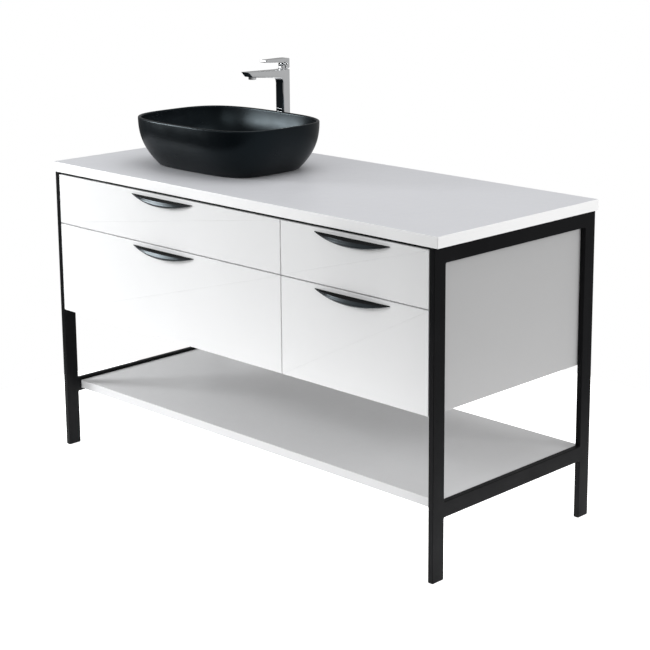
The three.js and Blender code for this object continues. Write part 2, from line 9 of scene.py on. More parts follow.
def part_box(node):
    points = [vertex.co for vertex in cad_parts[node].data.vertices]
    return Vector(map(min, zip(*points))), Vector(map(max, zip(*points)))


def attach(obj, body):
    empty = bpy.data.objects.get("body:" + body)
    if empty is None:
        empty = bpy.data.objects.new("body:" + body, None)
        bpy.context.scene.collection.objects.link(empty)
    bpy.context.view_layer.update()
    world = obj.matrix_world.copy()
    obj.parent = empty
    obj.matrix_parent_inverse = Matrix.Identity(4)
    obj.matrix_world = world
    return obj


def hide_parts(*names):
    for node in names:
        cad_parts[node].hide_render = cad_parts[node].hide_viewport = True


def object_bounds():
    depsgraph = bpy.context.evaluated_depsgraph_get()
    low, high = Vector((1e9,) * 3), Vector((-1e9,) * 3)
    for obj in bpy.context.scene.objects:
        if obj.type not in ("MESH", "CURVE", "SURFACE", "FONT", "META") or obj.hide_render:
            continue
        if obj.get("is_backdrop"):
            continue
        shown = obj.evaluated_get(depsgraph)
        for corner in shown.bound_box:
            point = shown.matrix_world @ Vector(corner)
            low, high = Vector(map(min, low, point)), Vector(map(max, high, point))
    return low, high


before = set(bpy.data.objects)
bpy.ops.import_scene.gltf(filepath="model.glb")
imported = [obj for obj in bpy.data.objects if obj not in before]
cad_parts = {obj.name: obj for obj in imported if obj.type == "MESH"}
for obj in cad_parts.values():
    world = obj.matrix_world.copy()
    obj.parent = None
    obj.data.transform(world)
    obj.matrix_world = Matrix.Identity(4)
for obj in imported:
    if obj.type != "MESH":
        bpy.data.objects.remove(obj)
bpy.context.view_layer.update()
MM = 0.001
NOISE_LOW, NOISE_HIGH = 0.3, 0.7  # a noise's values lie mostly between these
FACE_WEIGHT = 80  # how strongly large faces set the shading at their edges
FEW_CORNERS = 32  # a cap with no more corners than this stays one face
ON_AXIS = 1e-7
SAME_POINT = 1e-6


# ------------------------------------------------------------------ materials

class Graph:
    """One Principled material, with short calls for the patterns that drive it."""

    def __init__(self, name, base, roughness, **sockets):
        self.material = bpy.data.materials.new(name)
        self.material.use_nodes = True
        self.nodes = self.material.node_tree.nodes
        self.links = self.material.node_tree.links
        self.shader = self.nodes["Principled BSDF"]
        self.set("Base Color", (*base, 1.0))
        self.set("Roughness", roughness)
        for socket, value in sockets.items():
            self.set(socket.replace("_", " "), value)
        self.base = base
        self.place = self.nodes.new("ShaderNodeTexCoord").outputs["Object"]
        self.height = None
        self.material.diffuse_color = (*base, 1.0)

    def set(self, socket, value):
        self.shader.inputs[socket].default_value = value

    def link(self, output, target):
        self.links.new(output, target)

    def stretched(self, scale):
        node = self.nodes.new("ShaderNodeMapping")
        node.inputs["Scale"].default_value = scale
        self.link(self.place, node.inputs["Vector"])
        return node.outputs["Vector"]

    def noise(self, scale, detail=3.0, rough=0.5, distortion=0.0, stretch=None):
        node = self.nodes.new("ShaderNodeTexNoise")
        node.inputs["Scale"].default_value = scale
        node.inputs["Detail"].default_value = detail
        node.inputs["Roughness"].default_value = rough
        node.inputs["Distortion"].default_value = distortion
        self.link(self.stretched(stretch) if stretch else self.place, node.inputs["Vector"])
        return node.outputs["Fac"]

    def cells(self, scale, output="Distance"):
        """Cells, by the distance to their centres or by a colour of their own."""
        node = self.nodes.new("ShaderNodeTexVoronoi")
        node.inputs["Scale"].default_value = scale
        self.link(self.place, node.inputs["Vector"])
        return node.outputs[output]

    def ramp(self, value, stops):
        node = self.nodes.new("ShaderNodeValToRGB")
        elements = node.color_ramp.elements
        while len(elements) < len(stops):
            elements.new(0.5)
        for element, (position, colour) in zip(elements, stops):
            element.position = position
            element.color = (*colour, 1.0)
        self.link(value, node.inputs["Fac"])
        return node.outputs["Color"]

    def shade(self, value, dark, start=NOISE_LOW, end=NOISE_HIGH):
        """A grey from dark up to white, to multiply a colour with."""
        return self.ramp(value, [(start, (dark,) * 3), (end, (1.0,) * 3)])

    def tint(self, value, spread, start=NOISE_LOW, end=NOISE_HIGH, shift=(1.0, 1.0, 1.0)):
        """Base colour that varies by +-spread with the value."""
        dark = tuple(c * (1 - spread) for c in self.base)
        light = tuple(min(1.0, c * (1 + spread) * s) for c, s in zip(self.base, shift))
        colour = self.ramp(value, [(start, dark), (end, light)])
        self.link(colour, self.shader.inputs["Base Color"])
        return colour

    def multiply(self, colour, other):
        node = self.nodes.new("ShaderNodeMix")
        node.data_type = "RGBA"
        node.blend_type = "MULTIPLY"
        node.inputs["Factor"].default_value = 1.0
        self.link(colour, node.inputs["A"])
        self.link(other, node.inputs["B"])
        self.link(node.outputs["Result"], self.shader.inputs["Base Color"])

    def rough(self, value, low, high):
        """Roughness that varies from low to high with a noise."""
        node = self.nodes.new("ShaderNodeMapRange")
        node.inputs["From Min"].default_value = NOISE_LOW
        node.inputs["From Max"].default_value = NOISE_HIGH
        node.inputs["To Min"].default_value = low
        node.inputs["To Max"].default_value = high
        self.link(value, node.inputs["Value"])
        self.link(node.outputs["Result"], self.shader.inputs["Roughness"])

    def bump(self, value, strength, distance):
        node = self.nodes.new("ShaderNodeBump")
        node.inputs["Strength"].default_value = strength
        node.inputs["Distance"].default_value = distance
        self.link(value, node.inputs["Height"])
        if self.height is not None:
            self.link(self.height, node.inputs["Normal"])
        self.height = node.outputs["Normal"]
        self.link(self.height, self.shader.inputs["Normal"])


def lacquer(name, base, low, high):
    """Sprayed lacquer: a faint orange peel and a slow cloudiness in colour and gloss."""
    g = Graph(name, base, 0.3, Specular_IOR_Level=0.45)
    g.tint(g.noise(3.0, 4.0), 0.012)
    g.rough(g.noise(4.0, 1.0), low, high)
    g.bump(g.noise(180.0, 1.0), 0.03, 0.0002)
    return g.material


def laminate(name, base, low, high, speckle):
    """Pressed laminate: a close grain in the sheet and a fine speckle in its colour."""
    g = Graph(name, base, 0.4, Specular_IOR_Level=0.4)
    cloud = g.tint(g.noise(2.2, 5.0, 0.6), 0.014)
    grain = g.shade(g.noise(1100.0, 2.0), 1 - speckle, 0.35, 0.62)
    g.multiply(cloud, grain)
    g.rough(g.noise(38.0, 5.0), low, high)
    g.bump(g.cells(820.0), 0.10, 0.0002)
    return g.material


def melamine(name, base):
    """Grey melamine board with a pressed linen texture."""
    g = Graph(name, base, 0.5, Specular_IOR_Level=0.35)
    warp = g.noise(60.0, 3.0, stretch=(14.0, 1.0, 14.0))
    cloud = g.tint(warp, 0.05)
    weft = g.shade(g.noise(60.0, 3.0, stretch=(1.0, 14.0, 1.0)), 0.93)
    g.multiply(cloud, weft)
    g.rough(g.noise(18.0, 3.0), 0.44, 0.58)
    g.bump(g.noise(700.0, 2.0), 0.08, 0.0002)
    return g.material


def powder_coat(name, base):
    """Satin powder coat: a fine leathery skin, a little uneven in gloss."""
    g = Graph(name, base, 0.42, Specular_IOR_Level=0.06)
    g.tint(g.noise(9.0, 4.0), 0.14)
    g.rough(g.noise(30.0, 5.0), 0.36, 0.48)
    g.bump(g.cells(640.0), 0.14, 0.0003)
    g.bump(g.noise(1500.0, 2.0), 0.08, 0.0002)
    return g.material


def moulded(name, base, low=0.5, high=0.66, shine=0.3):
    """Matt moulded plastic or rubber."""
    g = Graph(name, base, 0.6, Specular_IOR_Level=shine)
    g.tint(g.noise(60.0, 3.0), 0.10)
    g.rough(g.noise(140.0, 3.0), low, high)
    g.bump(g.noise(900.0, 2.0), 0.16, 0.0003)
    return g.material


def glaze(name, base):
    """Satin black glaze: slow waves of the dip, fine silk on top, a breath of blue in its colour, and a
    blue specular tint that is painted reflection, tinting its highlights as a bluish light would.
    """
    # Specular_Tint: painted reflection, a bluish light's colour put into the glaze's highlights.
    g = Graph(name, base, 0.34, Specular_IOR_Level=0.21, Specular_Tint=(0.70, 0.90, 1.0, 1.0))
    g.tint(g.noise(7.0, 4.0), 0.16, shift=(0.96, 1.03, 1.10))
    g.rough(g.noise(26.0, 5.0, 0.6), 0.27, 0.35)
    g.bump(g.noise(14.0, 2.0), 0.05, 0.0012)
    g.bump(g.noise(1300.0, 2.0), 0.05, 0.0002)
    return g.material


def satin_black(name, base):
    """Satin lacquer on the pulls: nearly smooth, a touch uneven in sheen."""
    # Specular_Tint: painted reflection, a bluish light's colour put into the pulls' highlights.
    g = Graph(name, base, 0.26, Specular_IOR_Level=0.28, Specular_Tint=(0.72, 0.89, 1.0, 1.0))
    g.tint(g.noise(30.0, 4.0), 0.12)
    g.rough(g.noise(40.0, 3.0), 0.27, 0.31)
    g.bump(g.noise(300.0, 1.0), 0.01, 0.0001)
    return g.material


def chrome(name, base):
    """Polished plate with the faint haze of wiping."""
    g = Graph(name, base, 0.06, Metallic=1.0)
    g.tint(g.noise(20.0, 4.0), 0.015)
    g.rough(g.noise(60.0, 6.0, 0.65, 0.4), 0.035, 0.085)
    g.bump(g.noise(34.0, 2.0), 0.015, 0.0005)
    return g.material


def zinc(name, base):
    """Bright zinc plate: drawn lines and a faint spangle."""
    g = Graph(name, base, 0.3, Metallic=1.0)
    spangle = g.tint(g.cells(260.0, "Color"), 0.09, 0.1, 0.9)
    drawn = g.shade(g.noise(500.0, 3.0, stretch=(1.0, 0.02, 1.0)), 0.88)
    g.multiply(spangle, drawn)
    g.rough(g.noise(90.0, 4.0), 0.26, 0.38)
    g.bump(g.noise(900.0, 2.0, stretch=(1.0, 0.02, 1.0)), 0.05, 0.0001)
    return g.material


def floor_paper(name, base):
    """Seamless studio paper."""
    g = Graph(name, base, 0.9, Specular_IOR_Level=0.1,
              Emission_Color=(1, 1, 1, 1), Emission_Strength=0.90)
    g.tint(g.noise(1.5, 3.0), 0.004)
    g.bump(g.noise(500.0, 2.0), 0.03, 0.0002)
    return g.material


# The boards are one white finish. The worktop's top, the carcass sides and floor, the shelf and its
# front band take darker copies of it, painted shade for the shade each of these faces gets; the fronts
# and the edge band keep the white.
WHITE = lacquer("front_lacquer", (0.84, 0.84, 0.842), 0.30, 0.33)
TOP_PAINTED_SHADE = laminate("worktop_white_painted_shade", (0.68, 0.687, 0.717), 0.36, 0.46, 0.03)
BAND = lacquer("edge_band", (0.97, 0.97, 0.97), 0.32, 0.40)
SHELF_BAND_PAINTED_SHADE = lacquer("shelf_edge_band_painted_shade", (0.62, 0.62, 0.625), 0.36, 0.44)
SIDE_PAINTED_SHADE = laminate("side_laminate", (0.47, 0.47, 0.472), 0.40, 0.50, 0.03)
SHELF_PAINTED_SHADE = laminate("shelf_white_painted_shade", (0.69, 0.69, 0.695), 0.38, 0.48, 0.03)
GREY = melamine("grey_melamine", (0.50, 0.495, 0.48))
STEEL = powder_coat("black_powder_coat", (0.0062, 0.0063, 0.0070))
PLASTIC = moulded("black_plastic", (0.012, 0.012, 0.012))
GLAZE = glaze("black_glaze", (0.0012, 0.0020, 0.0029))
LINING = moulded("pull_lining", (0.003, 0.003, 0.0035), 0.6, 0.75, 0.12)
PULL = satin_black("black_pull", (0.003, 0.0036, 0.0045))
CHROME = chrome("chrome_plate", (0.80, 0.81, 0.82))
ZINC = zinc("zinc_plate", (0.58, 0.60, 0.62))
MESH_DARK = moulded("aerator_insert", (0.03, 0.03, 0.032), 0.4, 0.55)


# ------------------------------------------------------------------ mesh tools

def put(name, verts, faces, materials, body, slot, replaces=(), pick=None, sharp=None):
    """One piece from points and faces. pick gives a face's material index from its normal and centre."""
    mesh = bpy.data.meshes.new(name)
    bm = bmesh.new()
    points = [bm.verts.new(v) for v in verts]
    for f in faces:
        try:
            bm.faces.new([points[i] for i in f])
        except ValueError:
            pass
    bmesh.ops.recalc_face_normals(bm, faces=bm.faces)
    for f in bm.faces:
        f.smooth = True
        if pick is not None:
            f.material_index = pick(f.normal, f.calc_center_median())
    bm.to_mesh(mesh)
    bm.free()
    for m in materials if isinstance(materials, (list, tuple)) else [materials]:
        mesh.materials.append(m)
    own(name, mesh, body, slot, replaces, sharp)


def own(name, mesh, body, slot, replaces=(), sharp=None):
    """The piece's object: shading, its body and the CAD nodes it stands for. The slot is not used."""
    obj = bpy.data.objects.new(name, mesh)
    bpy.context.scene.collection.objects.link(obj)
    if sharp is not None:
        mesh.set_sharp_from_angle(angle=math.radians(sharp))
    else:
        weighted = obj.modifiers.new("normals", "WEIGHTED_NORMAL")
        weighted.weight = FACE_WEIGHT
        weighted.keep_sharp = True
    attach(obj, body)
    if replaces:
        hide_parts(*([replaces] if isinstance(replaces, str) else replaces))


def merged(parts):
    """Several (points, faces) as one."""
    verts, faces = [], []
    for v, f in parts:
        shift = len(verts)
        verts += v
        faces += [tuple(i + shift for i in face) for face in f]
    return verts, faces


def offset_loop(loop, inset):
    """A closed loop moved to its left by inset, with mitred corners."""
    out = []
    for i, (bx, by) in enumerate(loop):
        ax, ay = loop[i - 1]
        cx, cy = loop[(i + 1) % len(loop)]
        n1 = Vector((ay - by, bx - ax)).normalized()
        n2 = Vector((by - cy, cx - bx)).normalized()
        k = inset / (1 + n1.dot(n2))
        out.append((bx + k * (n1.x + n2.x), by + k * (n1.y + n2.y)))
    return out


def turn_of(loop):
    return sum(x0 * y1 - x1 * y0 for (x0, y0), (x1, y1) in zip(loop, loop[1:] + loop[:1]))


def slab(outline, holes, w0, w1, edge, place, rounds=3, hole_edge=None):
    """A plate with rounded edges between w0 and w1, from an outline and holes in its own plane."""
    outline = list(outline) if turn_of(outline) > 0 else list(reversed(outline))
    loops = [outline] + [list(h) if turn_of(h) < 0 else list(reversed(h)) for h in holes]
    verts, faces = [], []
    profile = [i * math.pi / 2 / rounds for i in range(rounds + 1)]
    caps = ([], [])
    for number, loop in enumerate(loops):
        e = edge if number == 0 or hole_edge is None else hole_edge
        rings = []
        for a in reversed(profile):
            rings.append((w0 + e * (1 - math.sin(a)), e * (1 - math.cos(a))))
        for a in profile:
            rings.append((w1 - e * (1 - math.sin(a)), e * (1 - math.cos(a))))
        first = len(verts)
        n = len(loop)
        for w, inset in rings:
            for u, v in offset_loop(loop, inset):
                verts.append((u, v, w))
        for r in range(len(rings) - 1):
            for i in range(n):
                j = (i + 1) % n
                a, b = first + r * n, first + (r + 1) * n
                faces.append((a + i, a + j, b + j, b + i))
        caps[0].append(list(range(first, first + n)))
        caps[1].append(list(range(first + (len(rings) - 1) * n, first + len(rings) * n)))
    for cap in caps:
        flat = [i for ids in cap for i in ids]
        shapes = [[Vector((verts[i][0], verts[i][1], 0)) for i in ids] for ids in cap]
        if len(cap) == 1 and len(flat) <= FEW_CORNERS:
            faces.append(tuple(flat))
        else:
            faces += [tuple(flat[k] for k in tri) for tri in tessellate_polygon(shapes)]
    return [place(*v) for v in verts], faces


def xy(u, v, w):
    return (u, v, w)


def yz(u, v, w):
    return (w, u, v)


def xz(u, v, w):
    return (u, w, v)


def arc(cx, cy, r, a0, a1, steps):
    return [(cx + r * math.cos(math.radians(a0 + (a1 - a0) * i / steps)),
             cy + r * math.sin(math.radians(a0 + (a1 - a0) * i / steps))) for i in range(steps + 1)]


def circle(cx, cy, r, steps=64):
    return arc(cx, cy, r, 0, 360 - 360 / steps, steps - 1)


def round_rect(x0, x1, y0, y1, r, steps=4):
    corners = [(x1 - r, y1 - r, 0), (x0 + r, y1 - r, 90), (x0 + r, y0 + r, 180), (x1 - r, y0 + r, 270)]
    return [p for cx, cy, a in corners for p in arc(cx, cy, r, a, a + 90, steps)]


def eased(points, radius, steps=5):
    """A polygon with each corner that carries a radius turned into an arc."""
    out = []
    n = len(points)
    for i, p in enumerate(points):
        r = radius[i] if isinstance(radius, (list, tuple)) else radius
        b = Vector(p)
        a, c = Vector(points[i - 1]), Vector(points[(i + 1) % n])
        d1, d2 = (a - b).normalized(), (c - b).normalized()
        if not r:
            out.append(tuple(b))
            continue
        half = math.acos(max(-1, min(1, d1.dot(d2)))) / 2
        back = r / math.tan(half)
        centre = b + (d1 + d2).normalized() * (r / math.sin(half))
        s, e = b + d1 * back - centre, b + d2 * back - centre
        sweep = math.atan2(s.x * e.y - s.y * e.x, s.dot(e))
        for k in range(steps + 1):
            t = sweep * k / steps
            q = Matrix.Rotation(t, 2) @ s
            out.append(tuple(centre + q))
    return out


def skin(rings, closed=False):
    """Quads over rings with equal numbers of points, with end caps or closed on itself."""
    n = len(rings[0])
    verts = [p for ring in rings for p in ring]
    faces = []
    bands = len(rings) if closed else len(rings) - 1
    for r in range(bands):
        a, b = r * n, ((r + 1) % len(rings)) * n
        faces += [(a + i, a + (i + 1) % n, b + (i + 1) % n, b + i) for i in range(n)]
    if not closed:
        faces.append(tuple(range(n)))
        faces.append(tuple(range((len(rings) - 1) * n, len(rings) * n)))
    return verts, faces


def lathe(profile, cx, cy, z, steps=64, axis="z"):
    """A closed profile of (radius, height) turned round an axis through cx, cy."""
    verts, faces, index = [], [], []
    for radius, height in profile:
        if radius < ON_AXIS:
            index.append([len(verts)] * steps)
            verts.append((0.0, 0.0, height))
        else:
            index.append(list(range(len(verts), len(verts) + steps)))
            for i in range(steps):
                a = 2 * math.pi * i / steps
                verts.append((radius * math.cos(a), radius * math.sin(a), height))
    count = len(profile)
    closed = profile[0][0] > ON_AXIS and profile[-1][0] > ON_AXIS
    for r in range(count if closed else count - 1):
        a, b = index[r], index[(r + 1) % count]
        for i in range(steps):
            j = (i + 1) % steps
            f = tuple(dict.fromkeys((a[i], a[j], b[j], b[i])))
            if len(f) > 2:
                faces.append(f)
    if axis == "y":
        verts = [(x + cx, h + cy, y + z) for x, y, h in verts]
    else:
        verts = [(x + cx, y + cy, h + z) for x, y, h in verts]
    return verts, faces


def bent(a, b, c, shares):
    """Points of the curve that leaves a toward b and ends at c."""
    return [tuple((1 - t) ** 2 * a + 2 * t * (1 - t) * b + t * t * c) for t in shares]


def softened(points, r, steps=3):
    """An open profile with its inner corners eased; sharp ends stay."""
    out = [points[0]]
    for i in range(1, len(points) - 1):
        a, b, c = Vector(points[i - 1]), Vector(points[i]), Vector(points[i + 1])
        reach = min(r, 0.45 * (a - b).length, 0.45 * (c - b).length)
        p, q = b + (a - b).normalized() * reach, b + (c - b).normalized() * reach
        out += bent(p, b, q, [k / steps for k in range(steps + 1)])
    out.append(points[-1])
    return out


def softened_loop(points, r):
    """A closed profile with every corner but the first eased."""
    return softened(points + points[:1], r)[:-1]


def in_mm(points):
    """Profile points from millimetres to metres."""
    return [(a * MM, b * MM) for a, b in points]


def carved(name, base, cutters, union=()):
    """Exact boolean of (points, faces) shapes, as a mesh."""
    made = []
    for n, (verts, faces) in enumerate([base, *union, *cutters]):
        mesh = bpy.data.meshes.new(f"{name}_{n}")
        mesh.from_pydata(verts, [], faces)
        bm = bmesh.new()
        bm.from_mesh(mesh)
        bmesh.ops.recalc_face_normals(bm, faces=bm.faces)
        bm.to_mesh(mesh)
        bm.free()
        o = bpy.data.objects.new(f"{name}_{n}", mesh)
        bpy.context.scene.collection.objects.link(o)
        made.append(o)
    for n, o in enumerate(made[1:]):
        modifier = made[0].modifiers.new(f"b{n}", "BOOLEAN")
        modifier.operation = "UNION" if n < len(union) else "DIFFERENCE"
        modifier.solver = "EXACT"
        modifier.object = o
    bpy.context.view_layer.update()
    graph = bpy.context.evaluated_depsgraph_get()
    result = bpy.data.meshes.new_from_object(made[0].evaluated_get(graph), depsgraph=graph)
    for o in made:
        mesh = o.data
        bpy.data.objects.remove(o)
        bpy.data.meshes.remove(mesh)
    bm = bmesh.new()
    bm.from_mesh(result)
    bmesh.ops.remove_doubles(bm, verts=bm.verts, dist=SAME_POINT)
    bmesh.ops.dissolve_degenerate(bm, dist=SAME_POINT, edges=bm.edges)
    bmesh.ops.recalc_face_normals(bm, faces=bm.faces)
    for f in bm.faces:
        f.smooth = True
    bm.to_mesh(result)
    bm.free()
    result.name = name
    return result


def painted_shade_by_facing(axis):
    """Faces that look along the axis take the sheet's tone, the rest the edge band's; the tones are
    copies of one white, darkened where they paint the shade that way of facing gets.
    """
    def pick(normal, centre):
        return 0 if abs(normal[axis]) > 0.96 else 1
    return pick


# ------------------------------------------------------------------ steel frame

TUBE_EDGE = 1.6 * MM
TUBE_END_EDGE = 1.4 * MM
WELD = 3.2 * MM
CAP_CORNER = 1.6 * MM
CAP_TOP = 3.0
# Inset and height of a foot cap's rings: its sole, its rim, then the plug up inside the tube.
CAP_RINGS = ((2.2, 0.0), (1.2, 0.35), (0.5, 1.0), (0.3, 1.8), (0.3, CAP_TOP),
             (2.2, CAP_TOP), (2.2, 22.0), (3.2, 24.0))
LIP_DEPTH = 17 * MM
LIP_ABOVE_FRONTS = 1.4 * MM


def side_frame(side):
    lo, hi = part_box(f"{side}_front_leg")
    rlo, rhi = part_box(f"{side}_rear_leg")
    low_lo, low_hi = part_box(f"{side}_lower_rail")
    under_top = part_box(f"{side}_top_rail")[0].z
    y0, y1, y2, y3 = lo.y, hi.y, rlo.y, rhi.y
    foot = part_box(f"{side}_front_foot_cap")[0].z + CAP_TOP * MM
    outline = eased(
        [(y0, foot), (y1, foot), (y1, low_lo.z), (y2, low_lo.z),
         (y2, foot), (y3, foot), (y3, hi.z), (y0, hi.z)],
        [0, 0, WELD, WELD, 0, 0, TUBE_END_EDGE, TUBE_END_EDGE])
    opening = eased([(y1, low_hi.z), (y2, low_hi.z), (y2, under_top), (y1, under_top)], WELD)
    shape = slab(outline, [opening], lo.x, hi.x, TUBE_EDGE, yz)
    nodes = [f"{side}_{part}" for part in ("front_leg", "rear_leg", "top_rail", "lower_rail")]
    put(f"{side}_welded_frame", *shape, STEEL, "root", "black_steel", nodes)
    for end in ("front", "rear"):
        flo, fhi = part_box(f"{side}_{end}_foot_cap")
        cap = round_rect(flo.x, fhi.x, flo.y, fhi.y, CAP_CORNER)
        rings = [[(u, v, z * MM) for u, v in offset_loop(cap, inset * MM)] for inset, z in CAP_RINGS]
        put(f"{side}_{end}_foot_plug", *skin(rings), PLASTIC, "root", "black_plastic",
            f"{side}_{end}_foot_cap", sharp=40)


side_frame("left")
side_frame("right")
for end in ("front", "rear"):
    lo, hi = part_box(f"{end}_cross_rail")
    bar = round_rect(lo.y, hi.y, lo.z, hi.z, TUBE_EDGE, 3)
    rings = [[(x, u, v) for u, v in bar] for x in (lo.x, hi.x)]
    put(f"{end}_rail_tube", *skin(rings), STEEL, "root", "black_steel", f"{end}_cross_rail")

# A black steel lip of the front rail over the fronts' upper edges makes the black line between worktop
# and fronts: a dark piece put where the gap only has shade, painted shade.
lo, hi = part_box("front_cross_rail")
lip_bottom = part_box("top_left_drawer_front")[1].z + LIP_ABOVE_FRONTS
outline = round_rect(lo.x, hi.x, lo.y - LIP_DEPTH, lo.y - 0.1 * MM, 1.0 * MM)
put("front_rail_lip", *slab(outline, [], lip_bottom, hi.z, 0.6 * MM, xy), STEEL, "root", "black_steel")


# ------------------------------------------------------------------ worktop, shelf, carcass

basin_lo, basin_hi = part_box("basin")
BX, BY = (basin_lo.x + basin_hi.x) / 2, (basin_lo.y + basin_hi.y) / 2
BZ = basin_lo.z
turret_lo, turret_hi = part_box("mixer_turret")
MX, MY = (turret_lo.x + turret_hi.x) / 2, (turret_lo.y + turret_hi.y) / 2
outlet_lo, outlet_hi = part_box("trap_outlet")
OZ = (outlet_lo.z + outlet_hi.z) / 2
WASTE_HOLE = 21.5 * MM
MIXER_HOLE = 17.5 * MM
SERVICE_HALF_WIDTH, SERVICE_HALF_HEIGHT = 120 * MM, 52 * MM
BOARD_CORNER = 0.8 * MM
PLANE_AXES = {xy: (0, 1, 2), yz: (1, 2, 0), xz: (0, 2, 1)}


def board(name, node, plane, corner, edge, materials, holes=(), hole_edge=None):
    """A sheet that fills its CAD node's box; a list of two materials is a face tone and an edge band
    tone of one white, darkened where they paint shade.
    """
    lo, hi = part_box(node)
    u, v, w = PLANE_AXES[plane]
    outline = round_rect(lo[u], hi[u], lo[v], hi[v], corner)
    shape = slab(outline, holes, lo[w], hi[w], edge, plane, hole_edge=hole_edge)
    if isinstance(materials, list):
        put(name, *shape, materials, "root", "pale_laminate", node, pick=painted_shade_by_facing(w))
    else:
        put(name, *shape, materials, "root", "grey_board", node)


through_holes = [circle(BX, BY, WASTE_HOLE, 48), circle(MX, MY, MIXER_HOLE, 48)]
board("worktop_slab", "worktop", xy, 1.8 * MM, 1.3 * MM, [TOP_PAINTED_SHADE, BAND], through_holes, 0.3 * MM)
board("shelf_board", "shelf", xy, 1.2 * MM, 1.1 * MM, [SHELF_PAINTED_SHADE, SHELF_BAND_PAINTED_SHADE])
for side in ("left", "right"):
    board(f"carcass_{side}_panel", f"carcass_{side}_side", yz, BOARD_CORNER, 0.8 * MM, [SIDE_PAINTED_SHADE, BAND])
board("carcass_floor", "carcass_bottom", xy, BOARD_CORNER, 0.7 * MM, [SIDE_PAINTED_SHADE, BAND])
board("carcass_stretcher", "carcass_front_stretcher", xy, BOARD_CORNER, 0.7 * MM, GREY)
board("carcass_divider", "carcass_partition", yz, BOARD_CORNER, 0.7 * MM, GREY)
service = round_rect(BX - SERVICE_HALF_WIDTH, BX + SERVICE_HALF_WIDTH,
                     OZ - SERVICE_HALF_HEIGHT, OZ + SERVICE_HALF_HEIGHT, 1.5 * MM)
board("carcass_back_panel", "carcass_back", xz, BOARD_CORNER, 0.5 * MM, GREY, [service])


# ------------------------------------------------------------------ fixings

SCREW_RADIUS = 3.2 * MM
SCREW_RISE = 1.0 * MM
RECESS = 0.9 * MM
TAB_WIDTH, TAB_DEPTH, TAB_PLATE = 30 * MM, 34 * MM, 3 * MM
TAB_SCREW = 20 * MM


def screw(centre, direction):
    """A pan head with a cross recess; direction is the way its head looks."""
    z = Vector(direction).normalized()
    x = z.orthogonal().normalized()
    y = z.cross(x)
    steps = 24
    def ring(share, height, valley=None):
        """A ring of the head; with a valley it is a cross, that deep between its four arms."""
        out = []
        for i in range(steps):
            a = 2 * math.pi * i / steps
            k = SCREW_RADIUS * (share if valley is None or i % 6 == 0 else valley)
            p = Vector(centre) + x * (k * math.cos(a)) + y * (k * math.sin(a)) + z * height
            out.append(tuple(p))
        return out
    return skin([ring(1.0, -0.2 * MM), ring(1.0, 0.35 * SCREW_RISE), ring(0.9, 0.75 * SCREW_RISE),
                 ring(0.66, SCREW_RISE), ring(0.62, SCREW_RISE, 0.2),
                 ring(0.5, SCREW_RISE - RECESS, 0.16)])


def screws(name, spots, body):
    """Several screw heads as one piece; spots are (centre, direction)."""
    put(name, *merged([screw(c, d) for c, d in spots]), ZINC, body, "zinc_steel", sharp=35)


lo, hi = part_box("carcass_back")
rows = (lo.z + 8 * MM, hi.z - 8 * MM)
spots = [((lo.x + (0.02 + 0.96 * k / 8) * (hi.x - lo.x), hi.y, z), (0, 1, 0))
         for k in range(9) for z in rows]
ends = (lo.x + 9 * MM, hi.x - 9 * MM)
spots += [((x, hi.y, lo.z + share * (hi.z - lo.z)), (0, 1, 0)) for x in ends for share in (0.35, 0.65)]
screws("back_panel_screws", spots, "root")

# Steel tabs on the lower rails carry the shelf from below.
lo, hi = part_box("shelf")
tabs, spots = [], []
for side, inward in (("left", 1), ("right", -1)):
    rail_lo, rail_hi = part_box(f"{side}_lower_rail")
    root_x = (rail_hi.x if inward > 0 else rail_lo.x) + inward * 0.1 * MM
    for share in (0.14, 0.5, 0.86):
        y = lo.y + share * (hi.y - lo.y)
        xs = sorted((root_x, root_x + inward * TAB_DEPTH))
        plate = round_rect(xs[0], xs[1], y - TAB_WIDTH / 2, y + TAB_WIDTH / 2, 3 * MM)
        z = lo.z - 0.3 * MM
        tabs.append(slab(plate, [], z - TAB_PLATE, z, 0.5 * MM, xy))
        spots.append(((root_x + inward * TAB_SCREW, y, z - TAB_PLATE), (0, 0, -1)))
put("shelf_tabs", *merged(tabs), STEEL, "root", "black_steel")
screws("shelf_tab_screws", spots, "root")


# ------------------------------------------------------------------ drawers

HALF_PULL = 120 * MM
PULL_REACH = 17 * MM
PULL_DROP = 19 * MM
PULL_RIM = 4.5 * MM
PULL_WALL = 1.8 * MM
PULL_TIP = 1.4 * MM
PULL_LEAN = 0.21
PULL_SECTIONS = 72
BOX_WALL = 12 * MM
NOTCH_HALF = 44 * MM
RUNNER_STEEL = 1.6 * MM
# Half a slide member's section in millimetres, mirrored above and below; its corners' radii follow.
MEMBER = [(0, -17), (-8.6, -17), (-8.6, -15.8), (-1.2, -15.8),
          (-1.2, 15.8), (-8.6, 15.8), (-8.6, 17), (0, 17)]
MEMBER_RADII = [1.6, 0.4, 0.4, 0.6, 0.6, 0.4, 0.4, 1.6]


